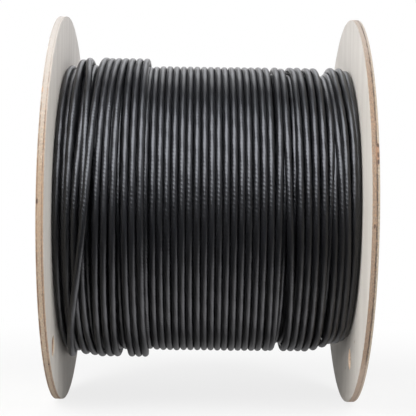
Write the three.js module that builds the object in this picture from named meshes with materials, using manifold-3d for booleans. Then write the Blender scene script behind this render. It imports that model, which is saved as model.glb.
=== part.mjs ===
// A cable drum: two plywood flanges clamped on a paperboard barrel by tie bolts, with its cable
// wound between them.
//
// Units are millimetres. X runs along the drum's axis and Z is up. The drum stands on the rims of
// its flanges, and the origin is on the floor, midway between them.

import * as THREE from 'three';
import { mergeVertices } from 'three/addons/utils/BufferGeometryUtils.js';
import Module from 'manifold-3d';

const wasm = await Module();
wasm.setup();

// Driving dimensions

const GAP = 0.3; // left between pieces that touch

const FLANGE_DIAMETER = 340;
const FLANGE_THICKNESS = 6.3;
const FLANGE_ARRIS = 0.5; // width of the sanded edge of the rim
const TRAVERSE = 249; // clear width between the flanges
const ARBOR_DIAMETER = 38;

const BARREL_DIAMETER = 118;
const BARREL_WALL = 5;
const BARREL_SEAT = 2; // depth of the groove that holds each end of the barrel

const TAIL_HOLE_DIAMETER = 17.5;
const TAIL_HOLE_LEFT = { y: -100, z: -113 }; // from the drum's axis
const TAIL_HOLE_RIGHT = { y: -46, z: -128 };

const BOLT_COUNT = 3;
const BOLT_CIRCLE_RADIUS = 42;
const BOLT_DIAMETER = 6;
const BOLT_TIP = 2.5; // thread that stands out of the nut
const HEX_ACROSS_FLATS = 10;
const HEX_CHAMFER = 0.6;
const HEAD_HEIGHT = 4;
const NUT_HEIGHT = 5;
const WASHER_DIAMETER = 20;
const WASHER_THICKNESS = 1.5;

const CABLE_DIAMETER = 6;
const LAYER_COUNT = 12;
const TURN_DEPTH = 2.2; // how far the groove between two turns goes in

// The outermost layer, in bands from the left flange to the right one. Each band ends at x and holds
// a number of turns whose tops are at one radius.
const BANDS = [
  { turns: 2, end: -112.8, radius: 126.3 }, // beside the left flange
  { turns: 10, end: -50.8, radius: 132.6 }, // the raised layer, laid on top of the one below
  { turns: 1, end: -47.2, radius: 125.2 }, // half under the raised layer
  { turns: 18, end: 60.2, radius: 126.5 },
  { turns: 1, end: 66.0, radius: 121.5 }, // sunk between its neighbours
  { turns: 5, end: 98.0, radius: 126.3 },
  { turns: 4, end: TRAVERSE / 2 - GAP, radius: 123.5 }, // beside the right flange
];

// The last turn of the cable, led back over the raised layer to the left flange. Its angle is
// counted from the front, upwards over the top, and falls along the cable. Its radius is to the
// middle of the cable.
const LAST_TURN = [
  { angle: 262, x: -57.0, radius: 131.2 },
  { angle: 215, x: -66.5, radius: 131.4 },
  { angle: 170, x: -76.5, radius: 131.4 },
  { angle: 125, x: -85.5, radius: 131.4 },
  { angle: 85, x: -91.1, radius: 131.4 },
  { angle: 40, x: -92.8, radius: 131.4 },
  { angle: 5, x: -95.4, radius: 131.4 },
  { angle: -28, x: -102.8, radius: 131.4 },
  { angle: -50, x: -110.2, radius: 131.4 },
  { angle: -75, x: -116.2, radius: 130.2 },
  { angle: -105, x: -120.4, radius: 128.6 },
  { angle: -150, x: -121.3, radius: 128.4 },
];

// Facets of round forms

const RIM_FACETS = 96;
const BARREL_FACETS = 48;
const ARBOR_FACETS = 32;
const TAIL_HOLE_FACETS = 24;
const WASHER_FACETS = 16;
const SMALL_FACETS = 12;
const WINDING_FACETS = 36;
const STRAND_FACETS = 8;
const STRAND_STEPS = 64;

// Sizes that follow

const INNER_FACE = TRAVERSE / 2;
const OUTER_FACE = INNER_FACE + FLANGE_THICKNESS;
const FLANGE_RADIUS = FLANGE_DIAMETER / 2;
const BARREL_RADIUS = BARREL_DIAMETER / 2;
const HEX_CORNER_RADIUS = HEX_ACROSS_FLATS / 2 / Math.cos(Math.PI / 6);
const WASHER_SEAT = OUTER_FACE + GAP;
const HEAD_SEAT = WASHER_SEAT + WASHER_THICKNESS + GAP; // where bolt heads and nuts bear
const BOLT_LENGTH = 2 * HEAD_SEAT + NUT_HEIGHT + BOLT_TIP;

// Finishes

const finish = (color, roughness, metalness) =>
  new THREE.MeshStandardMaterial({ color, roughness, metalness });

const PLYWOOD = finish(0xd8c8ab, 0.7, 0);
const PAPERBOARD = finish(0xa98a63, 0.85, 0);
const SHEATH = finish(0x17181b, 0.35, 0);
const ZINC = finish(0xb9bec2, 0.35, 0.9);

// Solids

const X_AXIS = new THREE.Vector3(1, 0, 0);
const Y_AXIS = new THREE.Vector3(0, 1, 0);
const Z_AXIS = new THREE.Vector3(0, 0, 1);

// Turns a form made about the Y axis, as lathes and cylinders are, onto the drum's axis.
const ONTO_DRUM_AXIS = new THREE.Matrix4().makeBasis(Z_AXIS, X_AXIS, Y_AXIS);

function solidOf(geometry) {
  const bare = geometry.clone();
  bare.deleteAttribute('normal');
  bare.deleteAttribute('uv');
  const { index, attributes } = mergeVertices(bare);
  const corners = [];
  for (let i = 0; i < index.count; i += 3) {
    const [a, b, c] = [index.getX(i), index.getX(i + 1), index.getX(i + 2)];
    if (a !== b && b !== c && c !== a) corners.push(a, b, c);
  }
  return new wasm.Manifold(new wasm.Mesh({
    numProp: 3,
    vertProperties: new Float32Array(attributes.position.array),
    triVerts: new Uint32Array(corners),
  }));
}

function geometryOf(solid) {
  const { vertProperties, triVerts } = solid.getMesh();
  const geometry = new THREE.BufferGeometry();
  geometry.setAttribute('position', new THREE.BufferAttribute(vertProperties, 3));
  geometry.setIndex(new THREE.BufferAttribute(triVerts, 1));
  geometry.computeVertexNormals();
  return geometry;
}

// A form turned about the drum's axis from an outline of [x, radius] points. It goes outwards, along
// +X and inwards again, and it closes on itself where it has a bore.
function turned(outline, facets) {
  const closed = outline[0][1] > 0 ? [...outline, outline[0]] : outline;
  const profile = closed.map(([x, radius]) => new THREE.Vector2(radius, x));
  return new THREE.LatheGeometry(profile, facets).applyMatrix4(ONTO_DRUM_AXIS);
}

// A round bar along X from one x to another, at a place across the drum's axis.
function bar(radius, from, to, facets, place = { y: 0, z: 0 }) {
  return new THREE.CylinderGeometry(radius, radius, to - from, facets)
    .applyMatrix4(ONTO_DRUM_AXIS)
    .translate((from + to) / 2, place.y, place.z);
}

function boltPlace(index) {
  const angle = Math.PI / 2 + (index * 2 * Math.PI) / BOLT_COUNT;
  return { y: BOLT_CIRCLE_RADIUS * Math.cos(angle), z: BOLT_CIRCLE_RADIUS * Math.sin(angle) };
}

// A plywood disc. Side is -1 for the left flange and 1 for the right one.
function flange(side, tailHole) {
  const rim = FLANGE_RADIUS - FLANGE_ARRIS;
  const disc = turned([
    [INNER_FACE, 0],
    [INNER_FACE, rim],
    [INNER_FACE + FLANGE_ARRIS, FLANGE_RADIUS],
    [OUTER_FACE - FLANGE_ARRIS, FLANGE_RADIUS],
    [OUTER_FACE, rim],
    [OUTER_FACE, 0],
  ], RIM_FACETS);
  const groove = turned([
    [INNER_FACE - 1, BARREL_RADIUS - BARREL_WALL - GAP],
    [INNER_FACE - 1, BARREL_RADIUS + GAP],
    [INNER_FACE + BARREL_SEAT, BARREL_RADIUS + GAP],
    [INNER_FACE + BARREL_SEAT, BARREL_RADIUS - BARREL_WALL - GAP],
  ], BARREL_FACETS);
  const through = (radius, facets, place) => bar(radius, INNER_FACE - 1, OUTER_FACE + 1, facets, place);
  const cutters = [
    groove,
    through(ARBOR_DIAMETER / 2, ARBOR_FACETS),
    through(TAIL_HOLE_DIAMETER / 2, TAIL_HOLE_FACETS, { y: side * tailHole.y, z: tailHole.z }),
  ];
  for (let index = 0; index < BOLT_COUNT; index++) {
    const { y, z } = boltPlace(index);
    cutters.push(through(BOLT_DIAMETER / 2 + GAP, SMALL_FACETS, { y: side * y, z }));
  }
  return cutters.reduce((solid, cutter) => solid.subtract(solidOf(cutter)), solidOf(disc));
}

function barrel() {
  const end = INNER_FACE + BARREL_SEAT - GAP;
  return turned([
    [-end, BARREL_RADIUS - BARREL_WALL],
    [-end, BARREL_RADIUS],
    [end, BARREL_RADIUS],
    [end, BARREL_RADIUS - BARREL_WALL],
  ], BARREL_FACETS);
}

// The outline of the whole roll of cable: its turns on the outside, its bore on the barrel, and on
// each end its layers, of which every second one stands half a turn back from the flange.
function windingOutline() {
  const left = -INNER_FACE + GAP;
  const right = INNER_FACE - GAP;
  const outside = [];
  let start = left;
  for (const { turns, end, radius } of BANDS) {
    const pitch = (end - start) / turns;
    for (let turn = 0; turn < turns; turn++) {
      outside.push([start + pitch * turn, radius - TURN_DEPTH]);
      outside.push([start + pitch * (turn + 0.5), radius]);
    }
    start = end;
  }
  outside.push([right, BANDS.at(-1).radius - TURN_DEPTH]);

  const bore = BARREL_RADIUS + GAP;
  const layerPitch = (outside[0][1] - bore) / LAYER_COUNT;
  const layers = Array.from({ length: LAYER_COUNT }, (_, layer) => ({
    radius: bore + layerPitch * (layer + 0.5),
    setBack: layer % 2 ? CABLE_DIAMETER / 2 : 0,
  }));
  const leftEnd = layers.map(({ radius, setBack }) => [left + setBack, radius]);
  const rightEnd = layers.map(({ radius, setBack }) => [right - setBack, radius]).reverse();
  return [[left, bore], ...leftEnd, ...outside, ...rightEnd, [right, bore]];
}

// The last turn of the cable, as a bar that follows its route.
function lastTurn() {
  const route = new THREE.CatmullRomCurve3(LAST_TURN.map(({ angle, x, radius }) => {
    const around = THREE.MathUtils.degToRad(angle);
    return new THREE.Vector3(x, -radius * Math.cos(around), radius * Math.sin(around));
  }));
  const section = new THREE.Shape(Array.from({ length: STRAND_FACETS }, (_, corner) => {
    const around = (corner * 2 * Math.PI) / STRAND_FACETS;
    return new THREE.Vector2(Math.cos(around), Math.sin(around)).multiplyScalar(CABLE_DIAMETER / 2);
  }));
  return new THREE.ExtrudeGeometry(section, { steps: STRAND_STEPS, extrudePath: route });
}

function winding() {
  return solidOf(turned(windingOutline(), WINDING_FACETS)).add(solidOf(lastTurn()));
}

// A hexagon that stands on x = 0, with the corners of its far face turned off.
function hexagon(height) {
  const prism = bar(HEX_CORNER_RADIUS, 0, height, 6);
  const envelope = turned([
    [0, 0],
    [0, HEX_CORNER_RADIUS],
    [height - HEX_CHAMFER, HEX_CORNER_RADIUS],
    [height, HEX_ACROSS_FLATS / 2],
    [height, 0],
  ], 2 * SMALL_FACETS);
  return solidOf(prism).intersect(solidOf(envelope));
}

function nut() {
  const bore = bar(BOLT_DIAMETER / 2 + GAP, -1, NUT_HEIGHT + 1, SMALL_FACETS);
  return hexagon(NUT_HEIGHT).subtract(solidOf(bore));
}

// A bolt whose head bears at x = 0 and whose shank runs along +X.
function bolt() {
  const head = geometryOf(hexagon(HEAD_HEIGHT)).rotateZ(Math.PI);
  const shank = bar(BOLT_DIAMETER / 2, -HEAD_HEIGHT / 2, BOLT_LENGTH, SMALL_FACETS);
  return solidOf(head).add(solidOf(shank));
}

// A washer that lies on x = 0.
function washer() {
  return turned([
    [0, BOLT_DIAMETER / 2 + GAP],
    [0, WASHER_DIAMETER / 2],
    [WASHER_THICKNESS, WASHER_DIAMETER / 2],
    [WASHER_THICKNESS, BOLT_DIAMETER / 2 + GAP],
  ], WASHER_FACETS);
}

// The drum

function piece(name, shape, material, x = 0) {
  const geometry = shape.isBufferGeometry ? shape : geometryOf(shape);
  const mesh = new THREE.Mesh(geometry, material);
  mesh.name = name;
  mesh.position.x = x;
  return mesh;
}

// One tie bolt with its washers and its nut.
function tie(index) {
  const { y, z } = boltPlace(index);
  const fitting = new THREE.Group();
  fitting.position.set(0, y, z);
  fitting.add(
    piece(`tie_bolt_${index + 1}`, bolt(), ZINC, -HEAD_SEAT),
    piece(`head_washer_${index + 1}`, washer(), ZINC, -WASHER_SEAT - WASHER_THICKNESS),
    piece(`nut_washer_${index + 1}`, washer(), ZINC, WASHER_SEAT),
    piece(`hex_nut_${index + 1}`, nut(), ZINC, HEAD_SEAT),
  );
  return fitting;
}

const leftFlange = piece('flange_left', flange(-1, TAIL_HOLE_LEFT), PLYWOOD);
leftFlange.rotation.z = Math.PI;

const drum = new THREE.Group();
drum.position.z = FLANGE_RADIUS;
drum.add(
  leftFlange,
  piece('flange_right', flange(1, TAIL_HOLE_RIGHT), PLYWOOD),
  piece('barrel', barrel(), PAPERBOARD),
  piece('cable_winding', winding(), SHEATH),
);
for (let index = 0; index < BOLT_COUNT; index++) drum.add(tie(index));

export default drum;
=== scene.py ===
"""A plywood cable drum with its cable: the finished look, built on the part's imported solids.

Every piece is in metres in the part's own frame: X runs along the drum's axis, Z is up, and the
origin is on the floor, midway between the flanges. Sizes that are written in millimetres are
multiplied by MM where they are used.
"""

import logging
import math
from dataclasses import dataclass
from enum import Enum
from functools import cached_property
from typing import Callable, Iterable, Sequence

import bmesh
import bpy
import numpy as np
from bpy.types import Material, Mesh, Node, NodeSocket, NodeTree, Object
from mathutils import Matrix, Vector


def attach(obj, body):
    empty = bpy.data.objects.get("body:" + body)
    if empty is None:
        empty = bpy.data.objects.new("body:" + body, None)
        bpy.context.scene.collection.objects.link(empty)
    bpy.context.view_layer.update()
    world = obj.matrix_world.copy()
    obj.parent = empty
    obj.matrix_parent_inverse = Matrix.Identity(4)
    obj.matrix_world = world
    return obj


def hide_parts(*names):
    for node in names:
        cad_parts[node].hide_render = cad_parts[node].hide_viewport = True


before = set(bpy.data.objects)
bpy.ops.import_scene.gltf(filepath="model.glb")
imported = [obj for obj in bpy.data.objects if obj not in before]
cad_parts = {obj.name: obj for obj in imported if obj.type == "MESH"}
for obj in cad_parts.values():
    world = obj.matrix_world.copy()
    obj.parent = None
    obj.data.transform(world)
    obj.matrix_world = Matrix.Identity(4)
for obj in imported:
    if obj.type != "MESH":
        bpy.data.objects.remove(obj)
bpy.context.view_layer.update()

LOG = logging.getLogger("cable_drum")
MM = 0.001
AXIS = 170 * MM  # height of the drum's axis over the floor
WHITE = (1.0, 1.0, 1.0)
MAP = "UVMap"  # the map that runs along and around a swept bar
IMAGE_SIDE = 416  # pixels of the square picture
CLEAR = 1 * MM  # how far a cutter reaches past what it cuts
ROUND_FACETS = 144  # steps around the barrel and its groove
SMALL_FACETS = 72  # steps around washers and heads
BOLT_FACETS = 40  # steps around a bolt's shank
BODY = "root"

Pair = tuple[float, float]
Outline = Sequence[Pair]
Grain = tuple[float, float, float, float]
Triple = Colour = tuple[float, float, float]
Row = tuple[float, ...]
Stops = tuple[Triple, ...]


def metres(sizes: Triple) -> Triple:
    """Turns millimetres into metres."""
    return tuple(size * MM for size in sizes)


class Slot(Enum):
    """The material slots of the part's record."""

    PLYWOOD = "plywood"
    PAPERBOARD = "paperboard"
    SHEATH = "cable_sheath"
    ZINC = "zinc_steel"


class Side(Enum):
    """The two ends of the drum, as signs along X."""

    LEFT = -1
    RIGHT = 1


# -------------------- node trees


def _operator(operation: str, swapped: bool = False) -> Callable:
    """Makes a method of Value that works on two values.

    Args:
        operation: the Math node's operation.
        swapped: whether the other value comes first.

    Returns:
        The method.
    """

    def method(self: "Value", other: "Value | float") -> "Value":
        """Works on self and the other value."""
        return self._math(operation, *((other, self) if swapped else (self, other)))

    return method


class Value:
    """A float socket of a node tree, for use in Python expressions."""

    def __init__(self, graph: "Graph", socket: NodeSocket) -> None:
        """Wraps an output socket of a graph."""
        self.graph = graph
        self.socket = socket

    def _math(self, operation: str, *operands: "Value | float") -> "Value":
        """The result of a Math node on some operands."""
        node = self.graph.maths("ShaderNodeMath", operation, operands)
        return self.graph.value(node.outputs[0])

    __add__, __radd__ = _operator("ADD"), _operator("ADD", swapped=True)
    __sub__, __rsub__ = _operator("SUBTRACT"), _operator("SUBTRACT", swapped=True)
    __mul__, __rmul__ = _operator("MULTIPLY"), _operator("MULTIPLY", swapped=True)
    __truediv__, __rtruediv__ = _operator("DIVIDE"), _operator("DIVIDE", swapped=True)
    least, most = _operator("MINIMUM"), _operator("MAXIMUM")
    atan2 = _operator("ARCTAN2")  # the angle whose tangent is self / other

    def __neg__(self) -> "Value":
        """-self."""
        return self * -1.0

    def __abs__(self) -> "Value":
        """abs(self)."""
        return self._math("ABSOLUTE", self)

    def sin(self) -> "Value":
        """The sine of the value in radians."""
        return self._math("SINE", self)

    def root(self) -> "Value":
        """The square root."""
        return self._math("SQRT", self)

    def ramp(self, start: float, end: float) -> "Value":
        """A smooth step.

        Args:
            start: where the step is 0.
            end: where it is 1, on either side of start.

        Returns:
            The step's value, from 0 to 1.
        """
        rising = start < end
        limits = {
            "From Min": min(start, end), "From Max": max(start, end),
            "To Min": float(not rising), "To Max": float(rising),
        }
        settings = {"interpolation_type": "SMOOTHSTEP"}
        node = self.graph.node("ShaderNodeMapRange", settings, {"Value": self, **limits})
        return self.graph.value(node.outputs["Result"])


Given = Value | NodeSocket | float | tuple | bool | int | Material


class Graph:
    """A node tree that is built from Python."""

    def __init__(self, tree: NodeTree) -> None:
        """Empties the tree to fill it."""
        self.tree = tree
        tree.nodes.clear()

    def node(self, kind: str, settings: dict | None = None, inputs: dict | None = None) -> Node:
        """Adds a node.

        Args:
            kind: the node's type.
            settings: its properties, which are set first.
            inputs: values or links, by the socket's name or number.

        Returns:
            The node.
        """
        made = self.tree.nodes.new(kind)
        for key, setting in (settings or {}).items():
            setattr(made, key, setting)
        for key, given in (inputs or {}).items():
            self.plug(given, made.inputs[key])
        return made

    def maths(self, kind: str, operation: str, operands: Sequence[Given]) -> Node:
        """Adds a node that works on operands, which are given in order."""
        return self.node(kind, {"operation": operation}, dict(enumerate(operands)))

    def plug(self, given: Given, socket: NodeSocket) -> None:
        """Links or sets an input.

        Args:
            given: a value, a socket or a constant; a colour needs no alpha.
            socket: the input.
        """
        if isinstance(given, Value):
            self.tree.links.new(given.socket, socket)
        elif isinstance(given, NodeSocket):
            self.tree.links.new(given, socket)
        else:
            socket.default_value = (*given, 1.0) if socket.type == "RGBA" else given

    def value(self, socket: NodeSocket) -> Value:
        """Wraps a socket for use in expressions."""
        return Value(self, socket)


class Shader(Graph):
    """One material's tree, with the helpers that the finishes share."""

    def __init__(self, name: str) -> None:
        """Makes the material.

        Args:
            name: its name.
        """
        self.material = bpy.data.materials.new(name)
        self.material.use_nodes = True
        super().__init__(self.material.node_tree)
        self.position = self.node("ShaderNodeTexCoord").outputs["Object"]

    def split(self, vector: NodeSocket) -> tuple[Value, Value, Value]:
        """The three parts of a vector."""
        parts = self.node("ShaderNodeSeparateXYZ", inputs={0: vector}).outputs
        return self.value(parts[0]), self.value(parts[1]), self.value(parts[2])

    def joined(self, x: Given, y: Given, z: Given) -> NodeSocket:
        """A vector made of three parts."""
        return self.node("ShaderNodeCombineXYZ", inputs={0: x, 1: y, 2: z}).outputs[0]

    def vector(self, operation: str, *operands: Given) -> Node:
        """Adds a Vector Math node on links or plain triples."""
        return self.maths("ShaderNodeVectorMath", operation, operands)

    def distance(self, place: Given, centre: Given, spread: Given) -> Value:
        """How far a place lies from a centre, in spreads along each axis."""
        spreads = self.vector("DIVIDE", self.vector("SUBTRACT", place, centre).outputs[0], spread)
        return self.value(self.vector("LENGTH", spreads.outputs[0]).outputs["Value"])

    def surface(self, shader: Node) -> Material:
        """Ends the tree in a shader node and gives the material."""
        self.node("ShaderNodeOutputMaterial", inputs={"Surface": shader.outputs[0]})
        return self.material

    def stretched(self, scale: Triple) -> NodeSocket:
        """The object coordinates, scaled along each axis."""
        mapped = self.node("ShaderNodeMapping", inputs={"Vector": self.position, "Scale": scale})
        return mapped.outputs[0]

    def noise(
        self, scale: float, detail: float = 2.0, rough: float = 0.5, at: NodeSocket | None = None
    ) -> Value:
        """Noise from 0 to 1; its scale is in features per metre, or per unit of another vector."""
        inputs = dict(Vector=at or self.position, Scale=scale, Detail=detail, Roughness=rough)
        return self.value(self.node("ShaderNodeTexNoise", inputs=inputs).outputs[0])

    def specks(self, scale: float, size: float, share: float) -> Value:
        """Small round spots, strewn at random.

        Args:
            scale: cells per metre.
            size: a spot's radius as a part of a cell.
            share: the share of cells that have one.

        Returns:
            A mask of the spots.
        """
        cells = self.node("ShaderNodeTexVoronoi", inputs={"Vector": self.position, "Scale": scale})
        near = self.value(cells.outputs["Distance"]).ramp(size, 0.5 * size)
        chance = self.split(cells.outputs["Color"])[0]
        return near * chance.ramp(1.0 - share, 1.001 - share)

    def mix(self, factor: Given, first: Given, second: Given, blend: str = "MIX") -> NodeSocket:
        """The mixture of two colours or links; the factor is the share of the second one."""
        settings = {"data_type": "RGBA", "blend_type": blend, "clamp_result": False}
        return self.node("ShaderNodeMix", settings, {0: factor, 6: first, 7: second}).outputs[2]

    def bump(self, height: Value, strength: float = 1.0) -> NodeSocket:
        """A normal from a height in metres."""
        inputs = {"Strength": strength, "Distance": 1.0, "Height": height}
        return self.node("ShaderNodeBump", inputs=inputs).outputs[0]

    def finish(self, sockets: dict[str, Given]) -> Material:
        """Ends the tree in a Principled shader with these values and links."""
        return self.surface(self.node("ShaderNodeBsdfPrincipled", inputs=sockets))


# -------------------- finishes


@dataclass(frozen=True)
class Sheath:
    """Black plastic cable sheath, which shows the lay of the strands beneath it.

    Each ripple is (length along the cable, starts around it, height), in metres. The ripples are
    read from the cable's own map: u runs along it in metres, v once around it.
    """

    name: str = "cable_sheath"
    colour: Colour = (0.0040, 0.0041, 0.0048)
    # Lighter, warmer tone near both flanges: partly dust, partly painted warm bounce light from
    # the wood.
    dust_and_bounce_colour: Colour = (0.0195, 0.0190, 0.0190)
    dust: Colour = (0.30, 0.29, 0.27)
    roughness: float = 0.31
    dust_and_bounce_from: float = 92 * MM
    dust_and_bounce_to: float = 124 * MM
    ripples: tuple[Triple, ...] = (
        (28.0 * MM, 4.0, 0.082 * MM),
        (12.0 * MM, 7.0, 0.014 * MM),
        (3.4 * MM, 4.0, 0.085 * MM),
    )
    sharpness: float = 0.3  # how much narrower the ridges are than the hollows between them
    grain: Pair = (900.0, 0.004 * MM)  # features per metre, and their height
    cloud: float = 38.0  # features per metre of the dust's patches
    specks: Triple = (95.0, 0.026, 0.16)  # cells per metre, size and share

    def material(self) -> Material:
        """Builds the finish.

        Returns:
            The material.
        """
        shader = Shader(self.name)
        chart = shader.node("ShaderNodeUVMap", {"uv_map": MAP}).outputs[0]
        along, around, _ = shader.split(chart)
        height = shader.noise(self.grain[0]) * self.grain[1]
        for length, starts, rise in self.ripples:
            phase = (along / length + around * starts) * math.tau
            ridge = phase.sin() + (phase * 2.0 - math.pi / 2).sin() * self.sharpness
            height = height + ridge * (0.5 * rise)
        # Towards both flanges the base is lighter and warmer: dust, and painted warm bounce light
        # from the flanges; the cloudy patches elsewhere are dust only.
        across = abs(shader.split(shader.position)[0])
        dust_and_bounce = across.ramp(self.dust_and_bounce_from, self.dust_and_bounce_to)
        cloud = shader.noise(self.cloud, 3.0)
        film_and_bounce = dust_and_bounce * 0.15 * (0.4 + cloud) + cloud.ramp(0.55, 0.8) * 0.08
        colour = shader.mix(film_and_bounce, self.colour, self.dust_and_bounce_colour)
        colour = shader.mix(shader.specks(*self.specks), colour, self.dust)
        return shader.finish({
            "Base Color": colour,
            "Roughness": self.roughness + film_and_bounce * 0.22 + shader.noise(260.0) * 0.05,
            "IOR": 1.5,
            "Normal": shader.bump(height),
        })


@dataclass(frozen=True)
class Knot:
    """A knot, a fleck or a stain in the wood, or a patch of painted light, with its strength of
    tone.
    """

    place: Triple  # mm
    spread: Triple  # mm
    colour: Colour
    strength: float = 0.9
    on_face: bool = False


@dataclass(frozen=True)
class Ply:
    """One ply or glue line of an edge, from its depth below the inner face to the next one's.

    A broken one fades out here and there along the edge.
    """

    depth: float  # mm
    colour: Colour
    broken: bool = False


@dataclass(frozen=True)
class Plywood:
    """Thin plywood: veneered faces, and a sawn edge that shows its plies and glue lines."""

    name: str
    inner_face: float
    plies: tuple[Ply, ...]
    knots: tuple[Knot, ...] = ()
    face: Colour = (0.670, 0.638, 0.590)
    face_top_light: Colour = (0.890, 0.850, 0.808)
    face_streak: Colour = (0.895, 0.885, 0.880)
    face_cloud: Colour = (0.90, 0.87, 0.84)
    dash: Colour = (0.47, 0.43, 0.38)
    pore: Colour = (0.46, 0.40, 0.34)
    fleck: Colour = (0.36, 0.20, 0.10)
    pale_fleck: Colour = (0.60, 0.53, 0.45)
    painted_top_light: float = 0.0  # how far the faces' top is lightened, which is painted light from above
    painted_top_sheen: float = 0.0  # how far the edge's top is lightened, which is painted light and sheen from above
    painted_top_sheen_from: float = 185 * MM  # height at which that begins
    line_fading: float = 0.2  # how far its glue lines fade under that painted light
    pale: Colour = (0.60, 0.565, 0.53)
    glue_soft: float = 0.15 * MM  # how softly one ply passes into the next
    painted_top_full: float = 325 * MM  # height at which the painted top light on the faces and the edge is full
    painted_top_light_from: float = 235 * MM  # height at which the painted top light on the faces begins
    # Noise in the edge: features per metre across it and along it, octaves and roughness.
    coarse_grain: Grain = (330.0, 120.0, 2.0, 0.5)
    sawn_grain: Grain = (900.0, 500.0, 3.0, 0.6)
    fine_grain: Grain = (2600.0, 1100.0, 2.0, 0.5)
    blotch_grain: Grain = (420.0, 260.0, 2.0, 0.5)
    # Noise in the faces: features per metre along X, Y and Z.
    streaks: Triple = (40.0, 60.0, 3.5)
    dashes: Triple = (60.0, 620.0, 26.0)
    pores: Triple = (90.0, 1400.0, 110.0)
    thickness: float = 6.3 * MM
    radius: float = 170 * MM

    def _edge(self, shader: Shader) -> tuple[NodeSocket, Value]:
        """The sawn edge.

        Args:
            shader: the material in the making.

        Returns:
            Its colour, and its relief in metres.
        """
        x, y, z = shader.split(shader.position)
        rise = z - AXIS
        out = (y * y + rise * rise).root()
        along = rise.atan2(-y) * self.radius

        def grain(across: float, length: float, detail: float, rough: float) -> Value:
            """Noise in the edge's own directions, in features per metre across and along it."""
            place = shader.joined(x * across, along * length, out * length)
            return shader.noise(1.0, detail, rough, place)

        coarse, sawn, fine, blotch = (
            grain(*each)
            for each in (self.coarse_grain, self.sawn_grain, self.fine_grain, self.blotch_grain)
        )
        depth = abs(x) - self.inner_face + (coarse - 0.5) * (0.6 * MM) + (sawn - 0.5) * (0.6 * MM)
        tone = 0.58 + sawn.ramp(0.28, 0.72) * 0.62 + fine * 0.22
        shade = shader.joined(tone, tone, tone)
        # The edge's top is lightened towards a pale tone, and its glue lines and dark flecks fade
        # there: painted light and sheen from above.
        top_sheen = z.ramp(self.painted_top_sheen_from, self.painted_top_full) * self.painted_top_sheen * (0.72 + sawn * 0.4)
        edge = self.plies[0].colour
        for ply in self.plies:
            tinted = shader.mix(1.0, ply.colour, shade, "MULTIPLY")
            start = ply.depth * MM
            here = depth.ramp(start - self.glue_soft, start + self.glue_soft)
            if ply.broken:
                unbroken = 0.35 + coarse.ramp(0.36, 0.54) * 0.65
                here = here * unbroken * (1.0 - top_sheen * self.line_fading)
            else:
                tinted = shader.mix(top_sheen, tinted, self.pale)
            edge = shader.mix(here, edge, tinted)
        dark = sawn.ramp(0.50, 0.70) * blotch.ramp(0.42, 0.62) * 0.70 * (1.0 - top_sheen * 0.75)
        edge = shader.mix(dark, edge, self.fleck)
        light = sawn.ramp(0.46, 0.30) * blotch.ramp(0.40, 0.60) * 0.35
        edge = shader.mix(light, edge, self.pale_fleck)
        relief = (sawn + fine * 0.4) * (0.10 * MM) + blotch * (0.08 * MM)
        return edge, relief

    def _face(self, shader: Shader) -> tuple[NodeSocket, Value]:
        """The veneer, whose grain runs upright.

        Args:
            shader: the material in the making.

        Returns:
            Its colour, and its relief in metres.
        """
        streak = shader.noise(1.0, 4.0, 0.6, at=shader.stretched(self.streaks))
        dash = shader.noise(1.0, 1.0, at=shader.stretched(self.dashes))
        pores = shader.noise(1.0, 2.0, at=shader.stretched(self.pores))
        cloud = shader.noise(13.0, 3.0)
        # The faces' top is lightened towards a pale tone: painted light from above.
        painted_top_light = shader.split(shader.position)[2].ramp(self.painted_top_light_from, self.painted_top_full) * self.painted_top_light
        face = shader.mix(painted_top_light, self.face, self.face_top_light)
        face = shader.mix(streak.ramp(0.34, 0.72), face, self.face_streak, "MULTIPLY")
        face = shader.mix(dash.ramp(0.62, 0.80) * 0.34, face, self.dash)
        face = shader.mix(pores.ramp(0.60, 0.80) * 0.18, face, self.pore)
        face = shader.mix(cloud.ramp(0.42, 0.78) * 0.25, face, self.face_cloud, "MULTIPLY")
        return face, pores * (0.02 * MM) + streak * (0.015 * MM)

    def material(self) -> Material:
        """Builds the finish.

        Returns:
            The material.
        """
        shader = Shader(self.name)
        edge, edge_relief = self._edge(shader)
        face, face_relief = self._face(shader)
        depth = abs(shader.split(shader.position)[0]) - self.inner_face
        worn = shader.noise(420.0, 3.0) * (0.5 * MM)
        buried = (depth + worn).least(self.thickness - depth + worn)
        on_face = buried.ramp(0.55 * MM, 0.30 * MM)
        colour = shader.mix(on_face, edge, face)
        for knot in self.knots:
            where = on_face if knot.on_face else 1.0 - on_face
            mask = self._knot(shader, knot) * where * knot.strength
            colour = shader.mix(mask, colour, knot.colour)
        return shader.finish({
            "Base Color": colour,
            "Roughness": 0.66 + shader.noise(700.0) * 0.12,
            "IOR": 1.45,
            "Normal": shader.bump(edge_relief * (1.0 - on_face) + face_relief * on_face),
        })

    @staticmethod
    def _knot(shader: Shader, knot: Knot) -> Value:
        """The mask of a soft spot with a frayed edge."""
        away = shader.distance(shader.position, metres(knot.place), metres(knot.spread))
        return (away + shader.noise(900.0) * 0.6).ramp(1.45, 0.95)


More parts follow.
